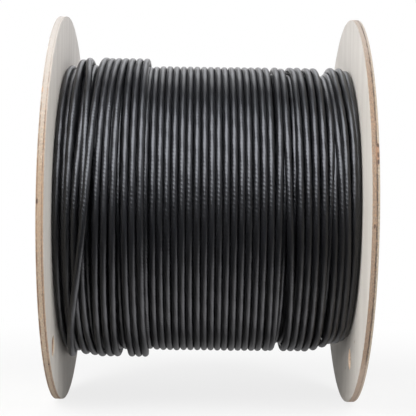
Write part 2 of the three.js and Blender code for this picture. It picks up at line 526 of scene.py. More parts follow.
@dataclass(frozen=True)
class Paperboard:
    """A spirally wound paperboard tube."""

    name: str = "paperboard"
    colour: Colour = (0.42, 0.31, 0.20)
    fibre: Colour = (0.34, 0.24, 0.15)
    gap: Colour = (0.16, 0.10, 0.06)
    strip: float = 92 * MM  # width of the paper strip, measured along the tube

    def material(self) -> Material:
        """Builds the finish.

        Returns:
            The material.
        """
        shader = Shader(self.name)
        x, y, z = shader.split(shader.position)
        angle = (z - AXIS).atan2(y) / math.tau
        seam = abs(((x / self.strip + angle) * math.pi).sin())
        fibres = shader.noise(1.0, 3.0, at=shader.stretched((900.0, 260.0, 260.0)))
        colour = shader.mix(fibres.ramp(0.3, 0.7), self.colour, self.fibre)
        colour = shader.mix(seam.ramp(0.03, 0.0) * 0.7, colour, self.gap)
        relief = seam.ramp(0.0, 0.03) * (0.25 * MM) + fibres * (0.03 * MM)
        return shader.finish({
            "Base Color": colour,
            "Roughness": 0.8 + fibres * 0.1,
            "Normal": shader.bump(relief),
        })


@dataclass(frozen=True)
class ZincPlate:
    """Bright zinc plating with faint spangle and handling marks."""

    name: str = "zinc_plate"
    colour: Colour = (0.58, 0.59, 0.58)
    tint: Colour = (0.50, 0.52, 0.55)

    def material(self) -> Material:
        """Builds the finish.

        Returns:
            The material.
        """
        shader = Shader(self.name)
        spangle = shader.noise(420.0, 3.0)
        wear = shader.noise(1500.0, 2.0)
        return shader.finish({
            "Base Color": shader.mix(spangle.ramp(0.35, 0.7), self.colour, self.tint),
            "Metallic": 1.0,
            "Roughness": 0.27 + spangle * 0.14,
            "Normal": shader.bump(wear * (0.006 * MM)),
        })


# -------------------- mesh tools


def shown(name: str, data: bpy.types.ID) -> Object:
    """Puts a mesh, a lamp or a camera into the scene.

    Args:
        name: the object's name.
        data: what it shows.

    Returns:
        The object.
    """
    data.name = name
    made = bpy.data.objects.new(name, data)
    bpy.context.scene.collection.objects.link(made)
    return made


def evaluated(host: Object) -> Mesh:
    """Turns an object with modifiers into a plain mesh and removes the object.

    Args:
        host: the object.

    Returns:
        Its finished mesh.
    """
    depsgraph = bpy.context.evaluated_depsgraph_get()
    mesh = bpy.data.meshes.new_from_object(host.evaluated_get(depsgraph))
    host.modifiers.clear()
    bpy.data.objects.remove(host)
    return mesh


def turned(outline: Outline, facets: int, y: float = 0.0, z: float = 0.0) -> Mesh:
    """A form turned about an axis along X.

    Args:
        outline: (x, radius) points; it ends on the axis at both ends, or closes on itself.
        facets: how many steps it takes around.
        y: the axis's place.
        z: the axis's height.

    Returns:
        A closed mesh whose faces point outwards.
    """
    angles = np.arange(facets) * (math.tau / facets)
    rings: list[list[int]] = []
    points: list[Triple] = []
    for x, radius in outline:
        around = angles if radius else angles[:1]  # a point on the axis stands for its whole ring
        rings.append([len(points) + index % len(around) for index in range(facets)])
        points += [(x, y + radius * math.cos(a), z + radius * math.sin(a)) for a in around]
    if outline[0][1] > 0.0:
        rings.append(rings[0])
    faces = []
    for low, high in zip(rings, rings[1:]):
        for i in range(facets):
            j = (i + 1) % facets
            corners = dict.fromkeys((low[i], low[j], high[j], high[i]))
            if len(corners) > 2:
                faces.append(tuple(corners))
    mesh = bpy.data.meshes.new("turned")
    mesh.from_pydata(points, [], faces)
    outwards(mesh)
    return mesh


def outwards(mesh: Mesh) -> None:
    """Makes the faces of a closed mesh point outwards.

    Args:
        mesh: the mesh.
    """
    shell = bmesh.new()
    shell.from_mesh(mesh)
    bmesh.ops.remove_doubles(shell, verts=shell.verts, dist=1e-7)
    bmesh.ops.recalc_face_normals(shell, faces=shell.faces)
    shell.to_mesh(mesh)
    shell.free()


def rounded(outline: Outline, corners: Sequence[int], size: float, steps: int = 3) -> Outline:
    """Rounds off some corners of an outline.

    Args:
        outline: its points.
        corners: which of them are rounded.
        size: how far along each leg the rounding starts.
        steps: how many pieces each rounding has.

    Returns:
        The new outline.
    """
    made: list[Pair] = []
    for index, point in enumerate(outline):
        if index not in corners:
            made.append(point)
            continue
        here = Vector(point)
        neighbours = Vector(outline[index - 1]), Vector(outline[(index + 1) % len(outline)])
        start, end = (here + (other - here).normalized() * size for other in neighbours)
        for step in range(steps + 1):
            t = step / steps
            spot = start.lerp(here, t).lerp(here.lerp(end, t), t)
            made.append((spot.x, spot.y))
    return made


def carved(mesh: Mesh, tools: Sequence[Mesh], operation: str = "DIFFERENCE") -> Mesh:
    """Cuts a mesh by others, or keeps what it shares with them.

    Args:
        mesh: the body.
        tools: the meshes that cut it.
        operation: the Boolean modifier's operation.

    Returns:
        The cut mesh.
    """
    host = shown("carving", mesh)
    cutters = [shown(f"cutter_{index}", tool) for index, tool in enumerate(tools)]
    for cutter in cutters:
        cut = host.modifiers.new("cut", "BOOLEAN")
        cut.operation = operation
        cut.solver = "EXACT"
        cut.object = cutter
    made = evaluated(host)
    for cutter in cutters:
        bpy.data.objects.remove(cutter)
    return made


def merged(meshes: Sequence[Mesh]) -> Mesh:
    """Puts several shells into one mesh.

    Args:
        meshes: the shells.

    Returns:
        One mesh of them all.
    """
    shell = bmesh.new()
    for mesh in meshes:
        shell.from_mesh(mesh)
    made = bpy.data.meshes.new("merged")
    shell.to_mesh(made)
    shell.free()
    return made


def fetched(items: bpy.types.bpy_prop_collection, key: str, kind: type) -> np.ndarray:
    """One property of every item of a collection.

    Args:
        items: the collection.
        key: the property's name.
        kind: int or float.

    Returns:
        Its values.
    """
    values = np.zeros(len(items), np.int32 if kind is int else np.float32)
    items.foreach_get(key, values)
    return values


def moved(mesh: Mesh, matrix: Matrix) -> Mesh:
    """A mesh's copy, moved.

    Args:
        mesh: the mesh.
        matrix: how it is moved.

    Returns:
        The copy.
    """
    copy = mesh.copy()
    copy.transform(matrix)
    return copy


def finished_piece(
    name: str,
    mesh: Mesh,
    material: Material,
    nodes: Sequence[str] = (),
    crease: float = 32.0,
) -> Object:
    """Shades a mesh, hands it to the frame and reports it.

    Args:
        name: the piece's name.
        mesh: its mesh, in place.
        material: its finish.
        nodes: the part's nodes that it stands for, if not the one of its own name.
        crease: edges sharper than this many degrees stay sharp.

    Returns:
        The piece.
    """
    mesh.shade_smooth()
    mesh.set_sharp_from_angle(angle=math.radians(crease))
    mesh.materials.clear()
    mesh.materials.append(material)
    piece = shown(name, mesh)
    nodes = nodes or [name]
    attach(piece, BODY)
    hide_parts(*nodes)
    mesh.calc_loop_triangles()
    LOG.info("%s: %d triangles, stands for %s", name, len(mesh.loop_triangles), ", ".join(nodes))
    return piece


# -------------------- swept bars


class Sweep(Graph):
    """A Geometry Nodes tree that sweeps a round section along a route."""

    def __init__(self, name: str) -> None:
        """Builds the tree, with its sizes as inputs.

        Args:
            name: the tree's name.
        """
        group = bpy.data.node_groups.new(name, "GeometryNodeTree")
        super().__init__(group)
        face = group.interface
        face.new_socket("Geometry", in_out="OUTPUT", socket_type="NodeSocketGeometry")
        kinds = {"Route": "Geometry", "Radius": "Float", "Sides": "Int", "Finish": "Material"}
        self.sockets = {
            key: face.new_socket(key, in_out="INPUT", socket_type=f"NodeSocket{kind}").identifier
            for key, kind in kinds.items()
        }
        given = self.node("NodeGroupInput").outputs
        place = self.node("GeometryNodeSplineParameter").outputs
        route = self.node("GeometryNodeMeshToCurve", inputs={"Mesh": given["Route"]})
        route = self._stored(route.outputs[0], "along", place["Length"])
        section = {"Resolution": given["Sides"], "Radius": given["Radius"]}
        ring = self.node("GeometryNodeCurvePrimitiveCircle", inputs=section)
        ring = self._stored(ring.outputs[0], "around", place["Factor"])
        curves = {"Curve": route, "Profile Curve": ring, "Fill Caps": True}
        bar = self.node("GeometryNodeCurveToMesh", inputs=curves)
        steps = {
            "GeometryNodeSetShadeSmooth": {},
            "GeometryNodeRealizeInstances": {},
            "GeometryNodeSetMaterial": {"Material": given["Finish"]},
        }
        for kind, more in steps.items():
            bar = self.node(kind, inputs={"Geometry": bar.outputs[0], **more})
        self.node("NodeGroupOutput", inputs={"Geometry": bar.outputs[0]})

    def _stored(self, geometry: NodeSocket, name: str, value: NodeSocket) -> NodeSocket:
        """The curve with a value kept on its points."""
        inputs = {"Geometry": geometry, "Name": name, "Value": value}
        return self.node("GeometryNodeStoreNamedAttribute", inputs=inputs).outputs[0]

    def bar(self, points: np.ndarray, radius: float, sides: int, material: Material) -> Mesh:
        """Sweeps a bar.

        Args:
            points: the route, one row a point.
            radius: the bar's radius.
            sides: how many sides its section has.
            material: its finish.

        Returns:
            A closed mesh with a map that runs along and around the bar.
        """
        line = bpy.data.meshes.new("route")
        steps = [(index, index + 1) for index in range(len(points) - 1)]
        line.from_pydata(points.tolist(), steps, [])
        host = shown("route", line)
        sweep = host.modifiers.new("sweep", "NODES")
        sweep.node_group = self.tree
        for key, given in (("Radius", radius), ("Sides", sides), ("Finish", material)):
            sweep[self.sockets[key]] = given
        mesh = evaluated(host)
        self._map(mesh)
        return mesh

    @staticmethod
    def _map(mesh: Mesh) -> None:
        """Turns the kept values into a map whose seam is closed.

        Args:
            mesh: the swept bar.
        """
        names = ("along", "around")
        along, around = (fetched(mesh.attributes[name].data, "value", float) for name in names)
        corners = fetched(mesh.loops, "vertex_index", int)
        size = fetched(mesh.polygons, "loop_total", int)
        face = np.repeat(np.arange(len(size)), size)
        v = around[corners]
        top = np.zeros(len(size))
        np.maximum.at(top, face, v)
        # A quad that crosses the seam has corners near 0 and near 1: the low ones go past 1.
        v = np.where((size[face] == 4) & (top[face] > 0.75) & (v < 0.25), v + 1.0, v)
        chart = np.column_stack([along[corners], v])
        mesh.uv_layers.new(name=MAP).data.foreach_set("uv", chart.astype(np.float32).ravel())
        for name in names:
            mesh.attributes.remove(mesh.attributes[name])


# -------------------- the flanges


@dataclass
class Flange:
    """A plywood disc with its bore, bolt holes, barrel groove and the hole for a cable's tail."""

    side: Side
    tail_hole: Pair  # y and z from the drum's axis
    finish: Plywood
    bolt_places: tuple[Pair, ...]
    radius: float = 170 * MM
    thickness: float = 6.3 * MM
    inner_face: float = 124.5 * MM
    arris: float = 0.6 * MM
    arbor_diameter: float = 38 * MM
    tail_hole_diameter: float = 17.5 * MM
    bolt_hole_diameter: float = 6.6 * MM
    groove: Pair = (53.7 * MM, 59.3 * MM)
    groove_depth: float = 2 * MM
    broken_edge: float = 0.35 * MM  # of the holes
    facets: int = 288

    @property
    def node(self) -> str:
        """The part's node that the flange stands for."""
        return f"flange_{self.side.name.lower()}"

    @property
    def outer_face(self) -> float:
        """How far the outer face is from the drum's middle."""
        return self.inner_face + self.thickness

    def _turned(self, outline: Outline, facets: int, y: float = 0.0, z: float = 0.0) -> Mesh:
        """Turns an outline that is drawn for the right end, about y and z from the axis."""
        return turned([(x * self.side.value, r) for x, r in outline], facets, y, AXIS + z)

    def _drill(self, diameter: float, facets: int, y: float = 0.0, z: float = 0.0) -> Mesh:
        """A cutter for a hole whose edges are broken.

        Args:
            diameter: the hole's diameter.
            facets: steps around it.
            y: its place from the drum's axis.
            z: its height from the drum's axis.

        Returns:
            The cutter.
        """
        radius, beyond, broken = diameter / 2, CLEAR * 2, self.broken_edge
        near, far = self.inner_face, self.outer_face
        wide = radius + beyond + broken
        outline = [
            (near - beyond, 0.0), (near - beyond, wide), (near + broken, radius),
            (far - broken, radius), (far + beyond, wide), (far + beyond, 0.0),
        ]
        return self._turned(outline, facets, y, z)

    def _disc(self) -> Mesh:
        """The bare disc, with a rounded arris on both edges.

        Returns:
            Its mesh.
        """
        near, far = self.inner_face, self.outer_face
        outline = [(near, 0.0), (near, self.radius), (far, self.radius), (far, 0.0)]
        return self._turned(rounded(outline, (1, 2), self.arris, 4), self.facets)

    def _groove(self) -> Mesh:
        """The cutter for the groove that holds the barrel.

        Returns:
            Its mesh.
        """
        near, deep = self.inner_face - CLEAR, self.inner_face + self.groove_depth
        low, high = self.groove
        return self._turned([(near, low), (near, high), (deep, high), (deep, low)], ROUND_FACETS)

    def build(self) -> Mesh:
        """Makes the disc and cuts it.

        Returns:
            The flange's mesh.
        """
        cutters = [
            self._groove(),
            self._drill(self.arbor_diameter, 96),
            self._drill(self.tail_hole_diameter, 64, *self.tail_hole),
        ]
        cutters += [self._drill(self.bolt_hole_diameter, 32, *place) for place in self.bolt_places]
        return carved(self._disc(), cutters)

    def dress(self) -> Object:
        """Builds the flange and finishes it."""
        return finished_piece(self.node, self.build(), self.finish.material())


# -------------------- the barrel and the ties


@dataclass
class Barrel:
    """The paperboard tube that the cable is wound on."""

    radius: float = 59 * MM
    wall: float = 5 * MM
    end: float = 126.2 * MM
    arris: float = 0.4 * MM
    finish: Paperboard = Paperboard()

    def dress(self) -> Object:
        """Builds the tube and finishes it.

        Returns:
            Its piece.
        """
        end, outer, inner = self.end, self.radius, self.radius - self.wall
        outline = [(-end, inner), (-end, outer), (end, outer), (end, inner)]
        tube = turned(rounded(outline, range(4), self.arris, 2), ROUND_FACETS, z=AXIS)
        return finished_piece("barrel", tube, self.finish.material())


@dataclass
class Ties:
    """The tie bolts that clamp the flanges on the barrel, with their washers and nuts."""

    places: tuple[Pair, ...]  # y and z of each bolt from the drum's axis
    sweep: Sweep
    outer_face: float = 130.8 * MM
    gap: float = 0.3 * MM
    bolt_diameter: float = 6 * MM
    tip: float = 2.5 * MM
    across_flats: float = 10 * MM
    head_height: float = 4 * MM
    nut_height: float = 5 * MM
    washer_diameter: float = 20 * MM
    washer_thickness: float = 1.5 * MM
    pitch: float = 1 * MM
    thread_depth: float = 0.32 * MM
    thread_length: float = 14 * MM
    thread_facets: int = 20
    corner_drop: float = 0.75 * MM  # how far the hexagons' corners are turned off
    top_share: float = 0.96  # the turned top's diameter as a share of the width across flats
    washer_arris: float = 0.35 * MM
    countersink: float = 1.3 * MM
    play: float = 0.05 * MM  # between the bolt and the nut's bore
    run_out: float = 0.4 * MM  # length over which the shank tapers into the thread's root
    chamfer: float = 0.6 * MM  # at the bolt's tip
    finish: ZincPlate = ZincPlate()

    @cached_property
    def material(self) -> Material:
        """The zinc plating, which all of them share."""
        return self.finish.material()

    @property
    def seat(self) -> float:
        """Where the heads and nuts bear, from the drum's middle."""
        return self.outer_face + self.gap + self.washer_thickness + self.gap

    def _hexagon(self, height: float) -> Mesh:
        """A hexagon on x = 0 with its far corners turned off.

        Args:
            height: how far it stands along +X.

        Returns:
            Its mesh.
        """
        flat = self.across_flats / 2
        corner = flat / math.cos(math.pi / 6)
        prism = turned([(0.0, 0.0), (0.0, corner), (height, corner), (height, 0.0)], 6)
        wide, snug = corner * 1.1, corner * 1.005  # both clear of the corners
        cone = [
            (-CLEAR, 0.0), (-CLEAR, wide), (height - self.corner_drop, snug),
            (height, flat * self.top_share), (height + CLEAR / 100, 0.0),
        ]
        return carved(prism, [turned(cone, SMALL_FACETS)], "INTERSECT")

    def _thread(self, start: float, end: float) -> Mesh:
        """The ridge of a screw thread.

        Args:
            start: where it starts along X.
            end: where it ends.

        Returns:
            Its mesh.
        """
        turns = (end - start) / self.pitch
        angle = np.arange(0.0, turns * math.tau, math.tau / self.thread_facets)
        radius = self.bolt_diameter / 2 - self.thread_depth
        route = np.column_stack([
            start + angle * self.pitch / math.tau, radius * np.cos(angle), radius * np.sin(angle),
        ])
        return self.sweep.bar(route, self.thread_depth, 4, self.material)

    def _bolt(self) -> Mesh:
        """A bolt whose head bears at x = 0, its shank along +X.

        Returns:
            Its mesh.
        """
        length = 2 * self.seat + self.nut_height + self.tip
        radius = self.bolt_diameter / 2
        root = radius - self.thread_depth
        head = moved(self._hexagon(self.head_height), Matrix.Rotation(math.pi, 4, "Z"))
        inside, start = -self.head_height / 2, length - self.thread_length
        shank = turned([
            (inside, 0.0), (inside, radius), (start - self.run_out, radius), (start, root),
            (length - self.chamfer, root), (length, root - self.chamfer), (length, 0.0),
        ], BOLT_FACETS)
        thread = self._thread(start + self.run_out / 2, length - 1.5 * self.chamfer)
        return merged([head, shank, thread])

    def _washer(self) -> Mesh:
        """A flat washer on x = 0, its outer edges rolled over by the punch.

        Returns:
            Its mesh.
        """
        bore, rim = self.bolt_diameter / 2 + self.gap, self.washer_diameter / 2
        thick = self.washer_thickness
        outline = [(0.0, bore), (0.0, rim), (thick, rim), (thick, bore)]
        return turned(rounded(outline, (1, 2), self.washer_arris), SMALL_FACETS)

    def _nut(self) -> Mesh:
        """A hexagon nut on x = 0 with a countersunk bore.

        Returns:
            Its mesh.
        """
        height, bore = self.nut_height, self.bolt_diameter / 2 + self.play
        wide, deep = bore + self.countersink, self.countersink - CLEAR
        outline = [
            (-CLEAR, 0.0), (-CLEAR, wide), (deep, bore), (height - deep, bore),
            (height + CLEAR, wide), (height + CLEAR, 0.0),
        ]
        return carved(self._hexagon(height), [turned(outline, BOLT_FACETS)])

    def dress(self) -> list[Object]:
        """Builds the three ties and finishes them.

        Returns:
            Their pieces.
        """
        washer_seat = self.outer_face + self.gap
        forms = {
            "tie_bolt": (self._bolt(), -self.seat),
            "head_washer": (self._washer(), -washer_seat - self.washer_thickness),
            "nut_washer": (self._washer(), washer_seat),
            "hex_nut": (self._nut(), self.seat),
        }
        pieces = []
        for number, (y, z) in enumerate(self.places, start=1):
            for kind, (mesh, x) in forms.items():
                name = f"{kind}_{number}"
                placed = moved(mesh, Matrix.Translation((x, y, AXIS + z)))
                pieces.append(finished_piece(name, placed, self.material))
        return pieces


# -------------------- the cable


@dataclass(frozen=True)
class Station:
    """A place on the cable's route.

    The angle is counted from the front, upwards over the top, in degrees; the turn says how many
    times the cable has been round. x and radius are to the middle of the cable, in millimetres.
    """

    turn: int
    angle: float
    x: float
    radius: float

    @property
    def travel(self) -> float:
        """Degrees travelled since the top of turn 0, down over the front."""
        return 360.0 * self.turn + 90.0 - self.angle


def stations_of(turn: int, stops: Iterable[Triple]) -> list[Station]:
    """One turn's stations, from (angle, x, radius) in degrees and millimetres."""
    return [Station(turn, *stop) for stop in stops]


@dataclass
class Run:
    """A stretch of the cable, from station to station."""

    stations: list[Station]
    seed: int
    step: float = 4 * MM
    radius: float = 123 * MM  # at which that step is measured
    wander: Pair = (0.14, 0.10)  # mm along X and outwards
    slack: Pair = (0.45, 0.60)  # mm outwards and upwards
    bend: float = 11.0  # degrees over which a bend at a station is rounded
    drift_step: float = 34.0  # degrees between the knots of the wander

    def route(self) -> np.ndarray:
        """The route as points in metres, one row a point.

        Returns:
            The points.
        """
        stops = sorted(self.stations, key=lambda station: station.travel)
        travel = np.array([stop.travel for stop in stops])
        spacing = math.degrees(self.step / self.radius)
        fine = np.arange(travel[0], travel[-1], spacing)
        chance = np.random.RandomState(self.seed)
        places = [stop.x for stop in stops], [stop.radius for stop in stops]
        x, radius = (
            self._eased(np.interp(fine, travel, values), spacing)
            + self._drift(chance, len(fine), spacing) * amount
            for values, amount in zip(places, self.wander)
        )
        out, up = self.slack
        angle = np.radians(90.0 - fine)
        radius = radius + out
        return np.column_stack([
            x * MM, -radius * MM * np.cos(angle), AXIS + (radius * np.sin(angle) + up) * MM,
        ])

    def _eased(self, values: np.ndarray, spacing: float) -> np.ndarray:
        """Rounds the bends between stations.

        Args:
            values: one value a point.
            spacing: degrees from point to point.

        Returns:
            The smoothed values.
        """
        reach = max(1, round(self.bend / spacing))
        window = np.hanning(2 * reach + 3)[1:-1]
        padded = np.pad(values, reach, mode="reflect", reflect_type="odd")
        return np.convolve(padded, window / window.sum(), mode="valid")

    def _drift(self, chance: np.random.RandomState, count: int, spacing: float) -> np.ndarray:
        """A slow random wander of about unit size, one value a point."""
        knots = np.arange(0.0, count * spacing + 90.0, self.drift_step)
        return np.interp(np.arange(count) * spacing, knots, chance.normal(size=len(knots)))


@dataclass
class Winding:
    """The cable on the drum: the turns that can be seen, and a plain core of those below them."""

    sweep: Sweep
    cable_diameter: float = 5.96 * MM
    sides: int = 16
    sides_below: int = 12
    crease: float = 60.0
    parting: float = 2 * MM  # where the outer layer's two pieces meet, along X
    barrel_radius: float = 59.3 * MM
    end: float = 124.2 * MM
    pitch: float = 6 * MM  # of the core's turns
    layers: int = 10
    core_radius: float = 107 * MM
    shoulder: float = 107.5 * MM  # the core's radius by the right flange
    shoulder_back: float = 0.3 * MM  # how far that stands back from the end
    bulge: float = 1.6 * MM  # how deep the valleys between the layers are
    inset: float = 2 * MM  # how far its ends stand back at the barrel
    core_facets: int = 120
    # Up to which x the middles of the core's outermost turns lie at which radius.
    core_steps: tuple[Pair, ...] = ((50 * MM, 118 * MM), (98 * MM, 113 * MM), (math.inf, 109 * MM))
    finish: Sheath = Sheath()

    level: float = 123.5  # mm, radius to the middle of the cable in the outer layer
    # Middles in mm of the outer layer's turns where they pass the front, left to right.
    covered: Row = (-109.0, -102.8, -96.6, -90.4, -84.2, -78.0, -71.6, -64.4, -57.2)
    regular: Row = (
        -44.2, -38.4, -32.5, -26.5, -20.4, -14.5, -8.5, -2.5,
        3.4, 9.3, 15.3, 21.3, 27.3, 33.3, 39.3, 45.2, 51.2,
    )
    # The turns on the right: x, then radius, at each of the angles.
    wandering_angles: Row = (83, 57, 32, 3, -26, -53, -73)
    wandering: tuple[Row, ...] = (
        (58.4, 57.6, 58.0, 57.3, 57.4, 57.4, 57.2),
        (123.8, 123.5, 123.5, 123.5, 123.5, 123.4, 123.2),
        (64.1, 63.5, 63.7, 65.2, 68.2, 69.7, 69.6),
        (122.8, 123.3, 123.4, 123.4, 123.5, 123.5, 123.5),
        (71.6, 73.1, 73.6, 74.1, 75.7, 75.8, 75.8),
        (123.6, 123.5, 123.5, 123.5, 123.5, 123.5, 123.5),
        (78.6, 79.1, 79.6, 80.6, 81.5, 81.9, 81.9),
        (123.7, 123.5, 123.5, 123.5, 123.5, 123.5, 123.5),
        (86.0, 86.3, 86.3, 86.8, 87.8, 88.3, 88.2),
        (123.4, 123.5, 123.5, 123.5, 123.6, 123.8, 123.6),
        (92.6, 92.9, 93.0, 93.5, 94.5, 95.2, 95.0),
        (123.4, 123.4, 123.5, 123.5, 123.5, 123.3, 123.0),
        (104.4, 104.6, 102.8, 102.4, 103.4, 103.4, 103.6),
        (112.2, 115.4, 117.8, 118.5, 120.4, 121.0, 120.0),
        (104.4, 103.8, 105.4, 108.2, 108.8, 108.8, 109.5),
        (118.8, 120.6, 121.4, 121.0, 121.0, 119.2, 116.4),
        (107.8, 107.7, 110.4, 111.3, 113.6, 114.3, 115.6),
        (124.0, 123.6, 123.4, 122.6, 121.4, 119.0, 116.0),
        (115.4, 114.4, 117.4, 117.8, 119.2, 119.2, 120.1),
        (123.6, 122.6, 121.0, 119.8, 118.6, 116.6, 113.7),
        (121.0, 119.6, 121.2, 121.2, 121.2, 121.2, 121.2),
        (121.6, 119.8, 116.6, 115.6, 115.0, 114.0, 113.4),
    )
    # The turns by the left flange, turn by turn: angle, x and radius.
    tall: tuple[Stops, ...] = (
        ((185, -120.8, 116.6), (130, -120.6, 121.8), (83, -120.6, 123.2), (-73, -120.6, 122.9)),
        ((83, -115.6, 121.0), (-73, -115.6, 120.6), (-140, -114.8, 123.4)),
        ((83, -110.6, 128.8), (50, -109.9, 128.6), (10, -111.2, 128.4), (-26, -112.2, 128.2),
         (-73, -112.0, 125.4), (-95, -111.8, 124.4)),
        ((83, -107.6, 124.4), (57, -102.6, 124.9), (44, -102.8, 125.4), (33, -102.8, 126.8),
         (24, -103.4, 128.0), (3, -105.8, 129.6), (-26, -106.0, 129.2), (-73, -105.3, 128.2),
         (-95, -105.6, 128.0)),
        ((83, -105.5, 130.2), (74, -104.2, 130.2), (57, -100.9, 130.2), (44, -99.7, 129.8),
         (32, -99.3, 129.4), (19, -98.9, 129.2), (-26, -100.3, 129.0), (-53, -99.5, 129.2),
         (-73, -98.0, 128.8), (-95, -97.2, 128.8)),
    )
    # The raised turns beside them: x at each of the angles, and the radius that they share.
    raised_angles: Row = (83, 50, 0, -40, -73, -95)
    raised_radii: Row = (130.2, 130.4, 130.6, 130.5, 129.9, 129.6)
    raised: tuple[Row, ...] = (
        (-84.9, -86.4, -88.6, -90.1, -91.0, -90.9),
        (-78.9, -80.5, -82.1, -83.1, -83.9, -83.4),
        (-72.7, -74.2, -75.4, -76.2, -77.5, -77.9),
        (-66.9, -66.8, -66.2, -64.9, -64.4, -65.0),
        (-60.7, -60.6, -60.0, -59.1, -58.5, -59.0),
        (-54.4, -54.3, -53.5, -52.8, -52.3, -53.2),
    )
    # The last turn, led back over the others: angle, x and radius.
    last: Stops = (
        (170, -77.0, 136.2), (125, -86.2, 134.0), (100, -89.6, 131.6), (83, -90.7, 130.4),
        (57, -91.9, 130.6), (41, -92.8, 131.0), (24, -94.0, 132.2), (10, -95.5, 133.4),
        (-4, -97.5, 134.6), (-14, -100.0, 135.2), (-26, -103.9, 135.4), (-34, -106.8, 135.2),
        (-44, -110.2, 134.4), (-53, -112.4, 133.4), (-73, -115.9, 130.6), (-100, -119.2, 128.4),
        (-150, -120.7, 128.2),
    )
    # The layer below on the right: the middles of its turns after the first one, and the turns
    # that show in full, which are the first one and one further in.
    below: Row = (92.0, 86.0, 80.0, 73.9, 67.9, 62.0, 56.0, 50.0)
    below_shown: int = 5
    # Where the turns of that layer begin and end: angle, shift along X and radius.
    below_ends: tuple[Triple, Triple] = ((83, 1.4, 118.3), (-73, -1.2, 117.0))
    below_first: Stops = (
        (210, 95.4, 111.4), (150, 97.6, 116.0), (83, 100.4, 116.3), (57, 99.5, 118.2),
        (42, 99.5, 121.0), (30, 99.5, 121.8), (16, 99.0, 119.7), (3, 98.6, 117.3),
        (-73, 97.0, 117.0),
    )
    below_inner: Stops = (
        (105, 68.5, 116.2), (84, 70.6, 117.2), (70, 70.8, 118.4), (50, 70.4, 119.6),
        (32, 69.9, 119.6), (18, 70.0, 118.4), (3, 70.0, 115.8), (-40, 69.4, 115.0),
    )

    def _outer(self) -> list[Station]:
        """The outer layer, from under the raised turns to the right flange.

        Returns:
            Its stations.
        """
        stations = [Station(0, 150.0, -112.4, 117.4), Station(0, 110.0, -111.4, 122.6)]
        stations += [Station(turn, 0.0, x, 123.3) for turn, x in enumerate(self.covered)]
        turn = len(stations)
        stations += [Station(2, 84.0, -100.0, 123.9), Station(turn, 0.0, -50.2, 122.4)]
        for turn, x in enumerate(self.regular, start=turn + 1):
            stations.append(Station(turn, 0.0, x, self.level))
        turn += 1
        stations += [Station(turn + 2, 70, 73.9, 123.6), Station(turn + 6, 15, 102.5, 118.0)]
        for place, pair in enumerate(zip(self.wandering[::2], self.wandering[1::2]), start=turn):
            stations += stations_of(place, zip(self.wandering_angles, *pair))
        return stations

    def _raised(self) -> list[Station]:
        """The raised turns by the left flange and the last turn, led back over them.

        Returns:
            Their stations.
        """
        stations = []
        for turn, stops in enumerate(self.tall):
            stations += stations_of(turn, stops)
        for turn, xs in enumerate(self.raised, start=len(self.tall)):
            stations += stations_of(turn, zip(self.raised_angles, xs, self.raised_radii))
        turn = len(self.tall) + len(self.raised)
        return stations + [Station(turn - 1, -145, -66.0, 136.0)] + stations_of(turn, self.last)

    def _below(self) -> list[Station]:
        """Turns of the layer below, which show between the wandering turns on the right.

        Returns:
            Their stations.
        """
        stations = stations_of(0, self.below_first)
        stations += stations_of(self.below_shown, self.below_inner)
        (high, near, near_radius), (low, far, far_radius) = self.below_ends
        for turn, x in enumerate(self.below, start=1):
            if turn != self.below_shown:
                stations.append(Station(turn, high, x + near, near_radius))
            stations.append(Station(turn, low, x + far, far_radius))
        return stations

    def _core(self) -> Mesh:
        """The layers below, as one turned form with its turns on the outside and on both ends.

        Returns:
            Its mesh.
        """
        half, bore = self.cable_diameter / 2, self.barrel_radius
        arc = [(math.cos(math.pi * step / 5), math.sin(math.pi * step / 5)) for step in range(5)]
        outline: list[Pair] = []
        x = -self.end
        while x < self.end - 0.5 * self.pitch:
            middle = x + self.pitch / 2
            radius = next(radius for limit, radius in self.core_steps if middle < limit)
            outline += [(middle - half * along, radius + half * up) for along, up in arc]
            x += self.pitch
        outline.append((self.end - self.shoulder_back, self.shoulder))
        span = (self.core_radius - bore) / self.layers
        right, left = [], []
        for layer in range(self.layers):
            for along, up in arc[1:]:
                bulge = self.bulge * (1.0 - up) + half * (layer % 2)
                spot = bore + span * layer + span * (0.5 - 0.5 * along)
                right.append((self.end - bulge, spot))
                left.append((-self.end + bulge, spot))
        inside = self.end - self.inset
        outline += right[::-1] + [(inside, bore), (-inside, bore)] + left
        return turned(outline, self.core_facets, z=AXIS)

    def dress(self) -> list[Object]:
        """Builds the visible turns and the core and finishes them.

        Returns:
            Their pieces.
        """
        material = self.finish.material()
        outer = Run(self._outer(), seed=3).route()
        middle = int(np.argmax(outer[:, 0] > self.parting))
        runs = {
            "cable_outer_left": (outer[: middle + 1], self.sides),
            "cable_outer_right": (outer[middle:], self.sides),
            "cable_raised": (Run(self._raised(), seed=5, step=3 * MM).route(), self.sides),
            "cable_below": (Run(self._below(), seed=8, step=5 * MM).route(), self.sides_below),
        }
        radius = self.cable_diameter / 2
        forms = {
            name: self.sweep.bar(route, radius, sides, material)
            for name, (route, sides) in runs.items()
        }
        forms["cable_core"] = self._core()
        forms["cable_core"].uv_layers.new(name=MAP)
        return [
            finished_piece(name, mesh, material, ["cable_winding"], self.crease)
            for name, mesh in forms.items()
        ]


# -------------------- the studio


